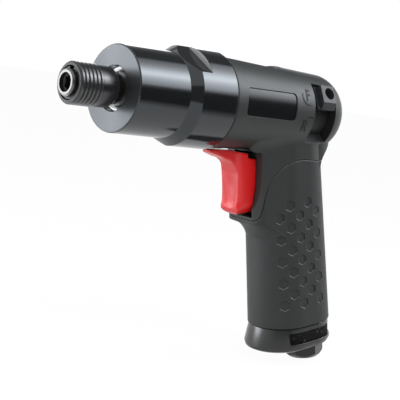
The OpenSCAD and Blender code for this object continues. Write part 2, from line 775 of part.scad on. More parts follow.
module detent_spring() color("#a9abad") {
    clocked(180) translate([valve_back + detent_ball_r - 0.2, 0, detent_r])
        along_x(0) coil(0.95, 0.3, 4.7, 4, 10, 6);
}

// Trigger and throttle

tongue_x = grip_x + 41.6;
tongue_top = -body_front_r - 0.2;
tongue_low = tongue_top - 3.6;
step_low = tongue_top - 2.2;
fillet_r = 8;
// Where the concave front of the trigger is centred
fillet_z = tongue_low - fillet_r;
fillet_x = grip_x + (pad_front + fillet_r + fillet_z * sin(trigger_tilt)) / cos(trigger_tilt);
function from_trigger(p) = [
    grip_x + p[0] * cos(trigger_tilt) + p[1] * sin(trigger_tilt),
    p[1] * cos(trigger_tilt) - p[0] * sin(trigger_tilt)
];
module trigger_side() polygon(concat(
    arc([tongue_x - 0.9, tongue_top - 0.9], 0.9, 90, -60, 6),
    arc([fillet_x, fillet_z], fillet_r, 90, 180 - trigger_tilt, 10),
    [for (p = arc([pad_nose - toe_r, pad_low + toe_r], toe_r, 0, -90, 10)) from_trigger(p)],
    [for (p = arc([pad_back + heel_r, pad_low + heel_r], heel_r, -90, -180, 8)) from_trigger(p)],
    [
        [grip_x + (pad_back + step_low * sin(trigger_tilt)) / cos(trigger_tilt), step_low],
        [grip_x + 21.9, step_low], [grip_x + 21.9, tongue_top]
    ]
));
module trigger() color("#d32a2c") difference() {
    intersection() {
        side_solid(trigger_w) trigger_side();
        union() {
            in_trigger() intersection() {
                translate([0, 0, -60]) linear_extrude(80) {
                    translate([0, -trigger_w / 2]) square([pad_nose - side_r, trigger_w]);
                    translate([0, side_r - trigger_w / 2]) square([pad_nose, trigger_w - 2 * side_r]);
                    for (s = [-1, 1])
                        translate([pad_nose - side_r, s * (trigger_w / 2 - side_r)]) circle(side_r);
                }
                // The lower end is round from the front too
                rotate([90, 0, 90]) linear_extrude(60) {
                    translate([-trigger_w / 2, pad_low + end_r]) square([trigger_w, 80]);
                    translate([end_r - trigger_w / 2, pad_low]) square([trigger_w - 2 * end_r, 20]);
                    for (s = [-1, 1])
                        translate([s * (trigger_w / 2 - end_r), pad_low + end_r]) circle(end_r);
                }
            }
            translate([tongue_x, 0, fillet_z]) linear_extrude(40) {
                translate([-30, -trigger_w / 2 + 1.8]) square([26, trigger_w - 3.6]);
                translate([-30, -trigger_w / 2 + 5.8]) square([30, trigger_w - 11.6]);
                for (s = [-1, 1]) translate([-4, s * (trigger_w / 2 - 5.8)]) circle(4);
            }
        }
    }
    rod_x_at(rod_r, grip_x, grip_x + 20, throttle_z);
}
module trigger_rod() color("#c6c7c9") rod_x_at(rod_r, bush_back - 0.5, grip_x + 20, throttle_z);
module throttle_bush() color("#b5964f") difference() {
    rod_x_at(chamber_r, bush_back, bush_front, throttle_z);
    rod_x_at(4, bush_back - 1, bush_front - 3.5, throttle_z);
    rod_x_at(rod_r + run_gap, bush_back, bush_front + 1, throttle_z);
    // Air outlet to the motor feed
    translate([bush_back + 5, 0, throttle_z]) cylinder(r = 2.6, h = chamber_r + 1);
    turned_groove(chamber_r, bush_front - 2, 0.8);
}
module turned_groove(r, x, w) {
    translate([0, 0, throttle_z]) turned_x() translate([r, x]) circle(w, $fn = 32);
}
module throttle_seal() color("#161616") intersection() {
    turned_groove(chamber_r, bush_front - 2, 0.8);
    rod_x_at(chamber_r, bush_back, bush_front, throttle_z);
}
module throttle_valve() color("#3a3a3a") difference() {
    union() {
        rod_x_at(5.4, bush_back - 2.6, bush_back, throttle_z);
        rod_x_at(2.6, bush_back - 5, bush_back, throttle_z);
    }
    rod_x_at(rod_r, bush_back - 0.5, bush_back + 1, throttle_z);
}
module throttle_spring() color("#a9abad") {
    translate([chamber_back, 0, throttle_z]) rotate([0, 90, 0])
        coil(4, 0.45, bush_back - 2.6 - chamber_back, 6, 12);
}

// Base and inlet

// One level of the cap: its depth, its growth past the grip and the shift of its rear and front rounds
module cap_ring(drop, grow, back, ahead) {
    translate([0, 0, -drop - ring_skin]) linear_extrude(ring_skin)
        egg(back - half, grip_r + grow, half + ahead, grip_r + grow, $fn = 64);
}
module base_cap() color("#2d3032") difference() {
    in_base() difference() {
        hull() {
            cap_ring(0, -0.6, 0, 0);
            cap_ring(base_h - 2.6, 0.7, 0.7, 1.4);
            cap_ring(base_h - 0.9, -0.1, 0.9, 1.9);
            cap_ring(base_h, -2, 1, 2);
        }
        translate([0, 0, slot_top - slot_h]) linear_extrude(slot_h) difference() {
            translate([-40, -30]) square([40 + half + slot_ahead, 60]);
            stadium(muffler_in, grip_flat);
        }
    }
    inlet_bore(shank_r, -base_h - 5, 1);
    for (s = [-1, 1]) exhaust_bore(s);
}
module muffler() color("#4b4a46") in_base() {
    translate([0, 0, slot_top - slot_h]) linear_extrude(slot_h) intersection() {
        difference() {
            stadium(grip_r - 0.6, grip_flat);
            stadium(muffler_in, grip_flat);
        }
        translate([-40, -30]) square([40 + half + slot_ahead, 60]);
    }
}
module inlet_bush() color("#232527") in_base() translate([inlet_back, 0, 0]) difference() {
    union() {
        translate([0, 0, -base_h - 2]) cylinder(r = shank_r, h = base_h + 12);
        translate([0, 0, hex_low]) intersection() {
            rotate(25) cylinder(d = inlet_af / cos(30), h = hex_h, $fn = 6);
            cylinder(r1 = inlet_af / 2 - 1, r2 = inlet_af / 2 + 12, h = 13);
        }
    }
    translate([0, 0, hex_low - 1]) cylinder(r = thread_r, h = thread_len + 1);
    translate([0, 0, hex_low]) cylinder(r = screen_r, h = thread_len + screen_t);
    translate([0, 0, hex_low]) cylinder(r = 4, h = 12 - hex_low);
}
module inlet_washer() color("#b0742f") in_base() translate([inlet_back, 0, -base_h - 1]) difference() {
    cylinder(r = inlet_af / 2 - 0.4, h = 1 - ring_skin);
    translate([0, 0, -1]) cylinder(r = shank_r, h = 3);
}
module inlet_screen() color("#a7a08c") in_base() {
    translate([inlet_back, 0, hex_low + thread_len]) difference() {
        cylinder(r = screen_r, h = screen_t);
        for (i = [0:5]) rotate(60 * i) translate([2.4, 0, -1]) cylinder(r = 0.8, h = screen_t + 2);
        translate([0, 0, -1]) cylinder(r = 0.8, h = screen_t + 2);
    }
}

front_case();
nose_bush();
thrust_washer();
spindle();
chuck_sleeve();
chuck_spring();
chuck_spring_seat();
chuck_ring();
bit_ball_left();
bit_ball_right();
clutch_balls();
clutch_cam();
clutch_spring();
clutch_nut();
planet_carrier();
planet_pins();
planet_gear_1();
planet_gear_2();
planet_gear_3();
ring_gear();
sun_pinion();
front_end_plate();
motor_cylinder();
rear_end_plate();
rotor();
rotor_vanes();
front_bearing_outer();
front_bearing_inner();
front_bearing_balls();
rear_bearing_outer();
rear_bearing_inner();
rear_bearing_balls();
housing();
rubber_grip();
side_plate();
reverse_valve();
reverse_lever();
detent_ball();
detent_spring();
trigger();
trigger_rod();
throttle_bush();
throttle_seal();
throttle_valve();
throttle_spring();
base_cap();
muffler();
inlet_bush();
inlet_washer();
inlet_screen();
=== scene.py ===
import math

import bmesh
import bpy
from mathutils import Matrix, Vector


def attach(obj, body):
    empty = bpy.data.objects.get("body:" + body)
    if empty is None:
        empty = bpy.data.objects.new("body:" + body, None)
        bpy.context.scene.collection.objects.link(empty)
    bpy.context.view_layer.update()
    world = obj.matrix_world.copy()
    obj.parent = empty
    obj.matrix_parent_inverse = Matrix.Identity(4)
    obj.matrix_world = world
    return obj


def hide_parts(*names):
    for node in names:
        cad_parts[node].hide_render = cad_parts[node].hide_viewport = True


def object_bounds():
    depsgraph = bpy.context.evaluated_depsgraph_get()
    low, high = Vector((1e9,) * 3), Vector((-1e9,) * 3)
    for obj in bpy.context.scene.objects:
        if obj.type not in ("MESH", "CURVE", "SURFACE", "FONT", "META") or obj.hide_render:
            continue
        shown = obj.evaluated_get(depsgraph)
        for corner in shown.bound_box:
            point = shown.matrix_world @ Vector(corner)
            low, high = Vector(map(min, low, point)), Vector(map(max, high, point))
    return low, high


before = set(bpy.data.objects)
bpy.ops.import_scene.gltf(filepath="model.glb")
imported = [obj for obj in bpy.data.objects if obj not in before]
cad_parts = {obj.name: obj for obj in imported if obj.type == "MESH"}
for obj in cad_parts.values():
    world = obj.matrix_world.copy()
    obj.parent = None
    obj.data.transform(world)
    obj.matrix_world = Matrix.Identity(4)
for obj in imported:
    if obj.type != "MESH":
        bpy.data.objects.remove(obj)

cad_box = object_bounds()

# Camera
# A long lens stands a little above the tool, ahead of it and to its left, and is turned
# slightly about its own axis, so that the barrel points down to the left.
LENS_MM, SENSOR_MM, NEAREST = 135, 36, 0.01
CAMERA_FROM_LEFT, CAMERA_UP, CAMERA_TURN = (math.radians(a) for a in (40.87, 5.0, 8.3))
CAMERA_DISTANCE = 0.6795
CAMERA_TARGET = Vector((-0.0576, 0, -0.04525))
towards_camera = Vector((
    math.sin(CAMERA_FROM_LEFT) * math.cos(CAMERA_UP),
    math.cos(CAMERA_FROM_LEFT) * math.cos(CAMERA_UP),
    math.sin(CAMERA_UP),
))
camera = bpy.data.objects.new("camera", bpy.data.cameras.new("camera"))
camera.data.lens = LENS_MM
camera.data.sensor_width = SENSOR_MM
camera.data.clip_start = NEAREST
camera.matrix_world = (
    Matrix.Translation(CAMERA_TARGET + towards_camera * CAMERA_DISTANCE)
    @ Matrix.Rotation(CAMERA_TURN, 4, towards_camera)
    @ towards_camera.to_track_quat("Z", "Y").to_matrix().to_4x4()
)
bpy.context.scene.collection.objects.link(camera)
bpy.context.scene.camera = camera
bpy.context.scene.view_settings.view_transform = "Standard"

# Studio
# A white floor and surround, three soft lamps, and the cards that a photographer stands round
# a polished black tool: bright ones for its highlights and dark ones for its black bands.
AMBIENT = 0.45
FLOOR_WIDTH, FLOOR_GAP, FLOOR_WHITE, FLOOR_GLOW_SHARE = 12, 0.0005, 0.9, 0.96
CARD_TINT, CARD_LIFT = (0.93, 0.96, 1.0, 1), 0.002
LAMP_AIM, LAMP_SIZE = (-0.06, 0, -0.04), 0.6
BARREL_MIDDLE = Vector((-0.03, 0, 0))


def wire(tree, start, end):
    tree.links.new(start, end)


def white_to_eye(tree, plain, white):
    """A shader that is white to the camera, to mirrors and through glass, and lit otherwise."""
    path = tree.nodes.new("ShaderNodeLightPath")
    sums = [tree.nodes.new("ShaderNodeMath") for _ in range(2)]
    for node in sums:
        node.operation = "ADD"
        node.use_clamp = True
    wire(tree, path.outputs["Is Camera Ray"], sums[0].inputs[0])
    wire(tree, path.outputs["Is Glossy Ray"], sums[0].inputs[1])
    wire(tree, sums[0].outputs[0], sums[1].inputs[0])
    wire(tree, path.outputs["Is Transmission Ray"], sums[1].inputs[1])
    mix = tree.nodes.new("ShaderNodeMixShader")
    wire(tree, sums[1].outputs[0], mix.inputs[0])
    wire(tree, plain.outputs[0], mix.inputs[1])
    wire(tree, white.outputs[0], mix.inputs[2])
    return mix


world = bpy.data.worlds.new("surround")
world.use_nodes = True
bpy.context.scene.world = world
surround = world.node_tree
surround.nodes.clear()
dim = surround.nodes.new("ShaderNodeBackground")
dim.inputs["Strength"].default_value = AMBIENT
bright = surround.nodes.new("ShaderNodeBackground")
bright.inputs["Strength"].default_value = 1.0
for shade in (dim, bright):
    shade.inputs["Color"].default_value = (1, 1, 1, 1)
wire(surround, white_to_eye(surround, dim, bright).outputs[0],
     surround.nodes.new("ShaderNodeOutputWorld").inputs["Surface"])


def linked(name, data):
    obj = bpy.data.objects.new(name, data)
    bpy.context.scene.collection.objects.link(obj)
    return obj


def meshed(name, bm):
    """An object in the scene with the shape of a worked mesh."""
    mesh = bpy.data.meshes.new(name)
    bm.to_mesh(mesh)
    bm.free()
    return linked(name, mesh)


def sheet_at(name, centre, facing, width, height, material, up=(0, 0, 1)):
    """A flat studio sheet with its face towards a point."""
    away = (Vector(facing) - Vector(centre)).normalized()
    across = Vector(up).cross(away).normalized()
    turn = Matrix((across, away.cross(across), away)).transposed().to_4x4()
    bm = bmesh.new()
    bm.loops.layers.uv.new("across")
    bmesh.ops.create_grid(bm, x_segments=1, y_segments=1, size=0.5, calc_uvs=True)
    bmesh.ops.scale(bm, vec=(width, height, 1), verts=bm.verts)
    bmesh.ops.transform(bm, matrix=Matrix.Translation(centre) @ turn, verts=bm.verts)
    sheet = meshed(name, bm)
    sheet.data.materials.append(material)
    return sheet


floor_paint = bpy.data.materials.new("floor_paint")
floor_paint.use_nodes = True
floor_tree = floor_paint.node_tree
floor_tree.nodes.clear()
matt = floor_tree.nodes.new("ShaderNodeBsdfDiffuse")
matt.inputs["Color"].default_value = (FLOOR_WHITE, FLOOR_WHITE, FLOOR_WHITE, 1)
glow = floor_tree.nodes.new("ShaderNodeEmission")
glow.inputs["Strength"].default_value = 1.0
shaded = floor_tree.nodes.new("ShaderNodeMixShader")
shaded.inputs[0].default_value = FLOOR_GLOW_SHARE
wire(floor_tree, matt.outputs[0], shaded.inputs[1])
wire(floor_tree, glow.outputs[0], shaded.inputs[2])
wire(floor_tree, white_to_eye(floor_tree, matt, shaded).outputs[0],
     floor_tree.nodes.new("ShaderNodeOutputMaterial").inputs["Surface"])
floor_z = cad_box[0].z - FLOOR_GAP
sheet_at("floor", (0, 0, floor_z), (0, 0, 1), FLOOR_WIDTH, FLOOR_WIDTH, floor_paint, up=(0, 1, 0))


def card_paint(name, steps):
    """A card's face from its lower edge up, in steps of (share of the height, glow, cover)."""
    paint = bpy.data.materials.new(name)
    paint.use_nodes = True
    tree = paint.node_tree
    tree.nodes.clear()
    edge = tree.nodes.new("ShaderNodeUVMap")
    edge.uv_map = "across"
    parts = tree.nodes.new("ShaderNodeSeparateXYZ")
    wire(tree, edge.outputs["UV"], parts.inputs[0])
    ramps = []
    for k in (1, 2):
        ramp = tree.nodes.new("ShaderNodeFloatCurve")
        curve = ramp.mapping.curves[0]
        top = max(1, max(step[k] for step in steps))
        for i, step in enumerate(steps):
            if i < 2:
                curve.points[i].location = (step[0], step[k] / top)
            else:
                curve.points.new(step[0], step[k] / top)
        for point in curve.points:
            point.handle_type = "VECTOR"
        ramp.mapping.update()
        wire(tree, parts.outputs["Y"], ramp.inputs["Value"])
        scale = tree.nodes.new("ShaderNodeMath")
        scale.operation = "MULTIPLY"
        scale.inputs[1].default_value = top
        wire(tree, ramp.outputs[0], scale.inputs[0])
        ramps.append(scale)
    light = tree.nodes.new("ShaderNodeEmission")
    light.inputs["Color"].default_value = CARD_TINT
    wire(tree, ramps[0].outputs[0], light.inputs["Strength"])
    clear = tree.nodes.new("ShaderNodeBsdfTransparent")
    mix = tree.nodes.new("ShaderNodeMixShader")
    wire(tree, ramps[1].outputs[0], mix.inputs[0])
    wire(tree, clear.outputs[0], mix.inputs[1])
    wire(tree, light.outputs[0], mix.inputs[2])
    wire(tree, mix.outputs[0], tree.nodes.new("ShaderNodeOutputMaterial").inputs["Surface"])
    return paint


def only_mirrored(sheet):
    """Hides a sheet from everything but reflections."""
    sheet.visible_camera = False
    sheet.visible_diffuse = False
    sheet.visible_transmission = False
    sheet.visible_shadow = False


def card(name, direction, distance, width, height, steps, up=(0, 0, 1), facing=BARREL_MIDDLE):
    """A card that only reflections see, out along a direction from the barrel."""
    centre = Vector(direction).normalized() * distance + BARREL_MIDDLE
    only_mirrored(sheet_at(name, centre, facing, width, height, card_paint(name, steps), up))


def floor_card(name, x, y, width, depth, steps):
    """A card that lies just above the floor."""
    only_mirrored(sheet_at(name, (x, y, floor_z + CARD_LIFT), (x, y, 1), width, depth,
                           card_paint(name, steps), up=(0, 1, 0)))


def even(strength):
    """The steps of a card that glows alike all over."""
    return [(0, strength, 1), (1, strength, 1)]


def lamp(name, place, watts):
    """A soft round lamp that looks at the tool and isn't mirrored in it."""
    light = bpy.data.lights.new(name, "AREA")
    light.shape = "DISK"
    light.size = LAMP_SIZE
    light.energy = watts
    obj = linked(name, light)
    obj.matrix_world = (
        Matrix.Translation(place)
        @ (Vector(place) - Vector(LAMP_AIM)).to_track_quat("Z", "Y").to_matrix().to_4x4()
    )
    obj.visible_camera = False
    obj.visible_glossy = False


lamp("key_lamp", (0.1, 0.8, 0.75), 8)
lamp("side_lamp", (0.95, -0.3, 0.15), 8)
lamp("rear_lamp", (-0.75, 0.2, 0.7), 5)

card("bright_top_card", (-0.652, 0.36, 0.66), 0.9, 0.7, 1.1,
     [(0, 2.6, 1), (0.06, 3.4, 1), (0.12, 4.3, 1), (0.25, 6.4, 1), (0.33, 8.6, 1),
      (0.38, 10.2, 1), (0.44, 9.8, 1), (0.53, 7, 1), (0.6, 4.5, 1), (0.68, 2.9, 1),
      (0.77, 1.8, 1), (0.85, 1.2, 1), (0.96, 0.5, 1), (1, 0.3, 1)],
     up=(0, -1, 1))
card("bright_front_card", (0.652, -0.753, -0.02), 0.7, 0.5, 0.5,
     [(0, 1.2, 1), (0.33, 1.2, 1), (0.36, 6, 1), (0.43, 5.4, 1), (0.55, 8.6, 1), (1, 8.6, 1)])
card("black_side_card", (-0.0465, 0.2494, -0.0135), 0.2541, 0.445, 0.183,
     [(0, 0, 0), (0.28, 0, 1), (0.8, 0, 1), (1, 0, 0)], facing=(0.0666, 0.0832, -0.0135))
card("black_top_card", (-0.652, -0.42, 0.62), 0.9, 0.9, 0.74,
     [(0, 0.3, 1), (0.5, 0.12, 1), (1, 0.15, 1)], up=(0, 1, 0.6))
card("backdrop_card", (-0.652, -0.753, 0.14), 0.9, 1.2, 0.36, even(2.4))
card("room_card", towards_camera, 1.1, 1.5, 1.0, even(0.1))
card("base_card", (0.039, -0.095, -0.111), 0.1513, 0.06, 0.034, even(12),
     facing=(-0.105, 0, -0.109))
# A hood keeps the card for the base out of the trigger's reflections
card("base_hood", (0.02, -0.079, -0.0935), 0.124, 0.07, 0.05, even(0.7),
     up=(-0.768, 0.64, 0), facing=(-0.01, -0.079, 1))
floor_card("floor_card", 0.16, -0.2, 0.3, 0.3, even(3.2))

# Front case
# Turned steel with a polished black coating and wrench flats ground across its rear ring.
# It screws on to the front of the body; its edges are broken with a file.
GLOSSIEST, BLOTCH_DETAIL, GRAIN_DETAIL = 0.02, 3, 2
EASING_SAMPLES, EDGE_PAINT_STARTS, EDGE_PAINT_FULL = 6, 0.99, 0.85
SMOOTH_BEND, FLAT_BEND, JOIN_M = math.radians(35), math.radians(0.2), 2e-6
COAT_BLACK, COAT_TINT = (0.008, 0.009, 0.0095), (0.88, 0.94, 1, 1)
LOOKS_AHEAD, FLATS_FRONT, FACE_BACK, RING_STRETCH = 0.93, -0.035, -0.002, 0.9
RIM_SEGMENTS = 6


def finish(name, colour, rough, rough_swing=0.06, specular=0.5, metallic=0.0, speckle=0.08,
           grain_m=0.0004, grain_depth=0.0, blotch_m=0.006, edge_m=0.0, edge_wear_and_highlight=1.6):
    """A material of uneven colour and gloss, with a fine grain and eased edges painted paler,
    partly as wear and partly as painted highlight.
    """
    material = bpy.data.materials.new(name)
    material.use_nodes = True
    tree = material.node_tree
    shader = tree.nodes["Principled BSDF"]
    shader.inputs["Metallic"].default_value = metallic
    shader.inputs["Specular IOR Level"].default_value = specular
    place = tree.nodes.new("ShaderNodeTexCoord")
    blotch = tree.nodes.new("ShaderNodeTexNoise")
    blotch.inputs["Scale"].default_value = 1 / blotch_m
    blotch.inputs["Detail"].default_value = BLOTCH_DETAIL
    wire(tree, place.outputs["Object"], blotch.inputs["Vector"])
    gloss = tree.nodes.new("ShaderNodeMapRange")
    gloss.inputs["To Min"].default_value = max(GLOSSIEST, rough - rough_swing)
    gloss.inputs["To Max"].default_value = rough + rough_swing
    wire(tree, blotch.outputs["Fac"], gloss.inputs["Value"])
    wire(tree, gloss.outputs["Result"], shader.inputs["Roughness"])
    tint = tree.nodes.new("ShaderNodeValToRGB")
    for stop, share in ((0, 1 - speckle), (1, 1 + speckle)):
        tint.color_ramp.elements[stop].color = (*(min(1, c * share) for c in colour), 1)
    grain = tree.nodes.new("ShaderNodeTexNoise")
    grain.inputs["Scale"].default_value = 1 / grain_m
    grain.inputs["Detail"].default_value = GRAIN_DETAIL
    wire(tree, place.outputs["Object"], grain.inputs["Vector"])
    wire(tree, grain.outputs["Fac"], tint.inputs["Fac"])
    paint, relief = tint.outputs["Color"], None
    if edge_m:
        eased = tree.nodes.new("ShaderNodeBevel")
        eased.samples = EASING_SAMPLES
        eased.inputs["Radius"].default_value = edge_m
        relief = eased.outputs["Normal"]
        faces = tree.nodes.new("ShaderNodeNewGeometry")
        agree = tree.nodes.new("ShaderNodeVectorMath")
        agree.operation = "DOT_PRODUCT"
        wire(tree, relief, agree.inputs[0])
        wire(tree, faces.outputs["Normal"], agree.inputs[1])
        # Eased edges are painted paler: partly wear, partly a painted highlight
        rubbed_and_highlit = tree.nodes.new("ShaderNodeMapRange")
        rubbed_and_highlit.inputs["From Min"].default_value = EDGE_PAINT_STARTS
        rubbed_and_highlit.inputs["From Max"].default_value = EDGE_PAINT_FULL
        wire(tree, agree.outputs["Value"], rubbed_and_highlit.inputs["Value"])
        paint = blended(tree, rubbed_and_highlit.outputs["Result"], paint, [c * edge_wear_and_highlight for c in colour])
    wire(tree, paint, shader.inputs["Base Color"])
    if grain_depth:
        bump = tree.nodes.new("ShaderNodeBump")
        bump.inputs["Strength"].default_value = 1.0
        bump.inputs["Distance"].default_value = grain_depth
        wire(tree, grain.outputs["Fac"], bump.inputs["Height"])
        if relief:
            wire(tree, relief, bump.inputs["Normal"])
        relief = bump.outputs["Normal"]
    if relief:
        wire(tree, relief, shader.inputs["Normal"])
    return material


def blended(tree, share, paint, colour):
    """A colour that goes over to another one by a share."""
    mix = tree.nodes.new("ShaderNodeMix")
    mix.data_type = "RGBA"
    wire(tree, share, mix.inputs[0])
    wire(tree, paint, mix.inputs[6])
    mix.inputs[7].default_value = (*(min(1, c) for c in colour), 1)
    return mix.outputs[2]


def sum_of(tree, operation, first, second, clamp=False):
    """A Math node on sockets or plain numbers."""
    node = tree.nodes.new("ShaderNodeMath")
    node.operation = operation
    node.use_clamp = clamp
    for k, value in enumerate((first, second)):
        if isinstance(value, (int, float)):
            node.inputs[k].default_value = value
        else:
            wire(tree, value, node.inputs[k])
    return node.outputs[0]


def above(tree, value, limit):
    return sum_of(tree, "GREATER_THAN", value, limit)


def below(tree, value, limit):
    return sum_of(tree, "LESS_THAN", value, limit)


def all_of(tree, first, *others):
    """1 where every one of several marks is 1."""
    for other in others:
        first = sum_of(tree, "MULTIPLY", first, other)
    return first


def axes_of(tree, kind="Object"):
    """The three coordinates of a point of the part, or of the way that its face looks."""
    place = tree.nodes.new("ShaderNodeTexCoord")
    split = tree.nodes.new("ShaderNodeSeparateXYZ")
    wire(tree, place.outputs[kind], split.inputs[0])
    return split.outputs


def repaint(material, share, colour, rough):
    """Gives the part of a finish that a share marks another colour and gloss."""
    tree = material.node_tree
    shader = tree.nodes["Principled BSDF"]
    paint = shader.inputs["Base Color"].links[0].from_socket
    wire(tree, blended(tree, share, paint, colour), shader.inputs["Base Color"])
    gloss = shader.inputs["Roughness"].links[0].from_socket
    mix = tree.nodes.new("ShaderNodeMix")
    wire(tree, share, mix.inputs[0])
    wire(tree, gloss, mix.inputs[2])
    mix.inputs[3].default_value = rough
    wire(tree, mix.outputs[0], shader.inputs["Roughness"])


def dress(material, *nodes):
    """Gives CAD nodes that keep their shape a finish."""
    for node in nodes:
        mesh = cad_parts[node].data
        mesh.materials.clear()
        mesh.materials.append(material)


def finished(name, bm, material, body, slot, *nodes):
    """Turns a mesh into an evenly shaded piece that moves with a body and stands for CAD nodes."""
    for face in bm.faces:
        face.smooth = True
    for edge in bm.edges:
        edge.smooth = edge.calc_face_angle(0) < SMOOTH_BEND
    piece = meshed(name, bm)
    piece.data.materials.append(material)
    shading = piece.modifiers.new("even_shading", "WEIGHTED_NORMAL")
    shading.keep_sharp = True
    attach(piece, body)
    if nodes:
        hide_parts(*nodes)


def merged_copy(node):
    """A CAD node's mesh with its loose triangles joined up."""
    bm = bmesh.new()
    bm.from_mesh(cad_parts[node].data)
    bmesh.ops.remove_doubles(bm, verts=bm.verts, dist=JOIN_M)
    bmesh.ops.dissolve_limit(bm, angle_limit=FLAT_BEND, verts=bm.verts, edges=bm.edges)
    return bm


def bevelled(bm, edges, round_m, segments):
    bmesh.ops.bevel(bm, geom=edges, offset=round_m, offset_type="OFFSET", affect="EDGES",
                    segments=segments, profile=0.5, material=-1, clamp_overlap=True)


def softened(node, round_m, material, body, slot, bend=25, segments=3, shortest_m=0.0, rim_m=0.0):
    """A copy of a CAD node with its sharp edges rounded over, its outer front rim the most."""
    bm = merged_copy(node)
    # The shortest edges are drawn together first
    if shortest_m:
        bmesh.ops.dissolve_degenerate(bm, dist=shortest_m, edges=bm.edges)

    def sharp():
        return [e for e in bm.edges if e.is_manifold and e.calc_face_angle(0) > math.radians(bend)]

    def radius(vert):
        return math.hypot(vert.co.y, vert.co.z)

    if rim_m:
        reach = max(radius(v) for v in bm.verts if v.co.x > -rim_m)
        rim = [e for e in sharp()
               if all(v.co.x > -rim_m and radius(v) > reach - rim_m for v in e.verts)]
        bevelled(bm, rim, rim_m, RIM_SEGMENTS)
    bevelled(bm, sharp(), round_m, segments)
    finished(node + "_eased", bm, material, body, slot, node)


black_coat = finish("black_coat", COAT_BLACK, 0.11, 0.02, specular=0.68)
coat_tree = black_coat.node_tree
coat_axes, coat_faces = axes_of(coat_tree), axes_of(coat_tree, "Normal")
looks_ahead = above(coat_tree, coat_faces["X"], LOOKS_AHEAD)
# The step walls of the wrench flats are left as the cutter leaves them
ground_wall = all_of(coat_tree, looks_ahead, below(coat_tree, coat_axes["X"], FLATS_FRONT))
repaint(black_coat, ground_wall, (0.24, 0.245, 0.25), 0.5)
# The front face keeps the fine rings of the lathe, which draw out what it mirrors
faced_off = all_of(coat_tree, looks_ahead, above(coat_tree, coat_axes["X"], FACE_BACK))
repaint(black_coat, faced_off, COAT_BLACK, 0.34)
coat_shader = coat_tree.nodes["Principled BSDF"]
coat_shader.inputs["Specular Tint"].default_value = COAT_TINT
wire(coat_tree, sum_of(coat_tree, "MULTIPLY", faced_off, RING_STRETCH),
     coat_shader.inputs["Anisotropic"])
away_from_axis = coat_tree.nodes.new("ShaderNodeCombineXYZ")
for axis in ("Y", "Z"):
    wire(coat_tree, coat_axes[axis], away_from_axis.inputs[axis])
wire(coat_tree, away_from_axis.outputs[0], coat_shader.inputs["Tangent"])
softened("front_case", 0.0003, black_coat, "body", "case_black", shortest_m=0.0002, rim_m=0.0007)

# Nose bush and thrust washer
# A bright steel bush is pressed into the mouth of the case and carries the spindle.
# A bronze washer takes the push behind it.
bush_steel = finish("bush_steel", (0.45, 0.45, 0.45), 0.3, 0.06, metallic=1.0, grain_m=0.001)
softened("nose_bush", 0.0002, bush_steel, "body", "bright_steel")
bronze = finish("bronze", (0.5, 0.33, 0.13), 0.35, metallic=1.0, grain_m=0.001)
dress(bronze, "thrust_washer")

# Chuck
# The black sleeve slides back on the bright spindle and lets two balls rise out of the bit's
# groove. Both are turned; the socket in the spindle's end is broached, and painted dark inside as
# shade.
SLEEVE_R, SLEEVE_STEPS, SOCKET_R = 0.0092, 96, 0.00422
GROOVES, GROOVE_R, GROOVE_PITCH, FIRST_GROOVE = 5, 0.0005, 0.002, 0.0129
GROOVE_SHADE_R, LAND_HIGHLIGHT_R, GROOVE_SHADE_BACK = 0.00895, 0.00912, 0.012
SLEEVE_REAR = [(0.0025, 0.0076), (0.0025, 0.008), (0.0041, 0.00875), (0.0049, 0.00885),
               (0.0112, 0.00885), (0.0116, SLEEVE_R)]
SLEEVE_FRONT = [(0.0221, SLEEVE_R), (0.0223, 0.00914), (0.0229, 0.00852), (0.023, 0.0083),
                (0.023, 0.0074), (0.0206, 0.0074), (0.0206, 0.00675), (0.0173, 0.006),
                (0.0171, 0.00595), (0.012, 0.00595), (0.012, 0.0076)]


def off_axis(tree):
    """How far a point lies from the barrel's axis, squared, and its place along it."""
    axes = axes_of(tree)
    squares = [sum_of(tree, "POWER", axes[k], 2) for k in ("Y", "Z")]
    return sum_of(tree, "ADD", *squares), axes["X"]


def turned(profile, steps):
    """A solid of revolution about the barrel's axis from a closed outline of x and radius."""
    bm = bmesh.new()
    face = bm.faces.new([bm.verts.new((x, r, 0)) for x, r in profile])
    bmesh.ops.spin(bm, geom=[face, *face.edges, *face.verts], cent=(0, 0, 0), axis=(1, 0, 0),
                   angle=math.tau, steps=steps, use_merge=True)
    bmesh.ops.delete(bm, geom=[f for f in bm.faces if len(f.verts) > 4], context="FACES_ONLY")
    bmesh.ops.remove_doubles(bm, verts=bm.verts, dist=1e-7)
    bmesh.ops.recalc_face_normals(bm, faces=bm.faces)
    return bm


black_oxide = finish("black_oxide", (0.011, 0.011, 0.013), 0.24, 0.05, specular=0.7, grain_m=0.0008)
oxide_tree = black_oxide.node_tree
sleeve_r2, sleeve_x = off_axis(oxide_tree)
# The grooves of the sleeve and its front hollows are painted dark as shade, and the lands between
# the grooves painted pale as highlights
painted_groove_shade = all_of(oxide_tree, below(oxide_tree, sleeve_r2, GROOVE_SHADE_R ** 2),
               above(oxide_tree, sleeve_x, GROOVE_SHADE_BACK))
repaint(black_oxide, painted_groove_shade, (0.003, 0.003, 0.003), 0.6)
repaint(black_oxide, above(oxide_tree, sleeve_r2, LAND_HIGHLIGHT_R ** 2), (0.022, 0.023, 0.025), 0.2)
outline = SLEEVE_REAR[:]
for k in range(GROOVES):
    middle = FIRST_GROOVE + k * GROOVE_PITCH
    for a in range(0, 181, 20):
        outline.append((middle - GROOVE_R * math.cos(math.radians(a)),
                        SLEEVE_R - GROOVE_R * math.sin(math.radians(a))))
outline += SLEEVE_FRONT
finished("sleeve_turned", turned(outline, SLEEVE_STEPS), black_oxide,
         "sleeve", "chuck_black", "chuck_sleeve")
dress(black_oxide, "chuck_ring")
bright_steel = finish("bright_steel", (0.78, 0.78, 0.79), 0.2, 0.05, metallic=1.0, grain_m=0.001)
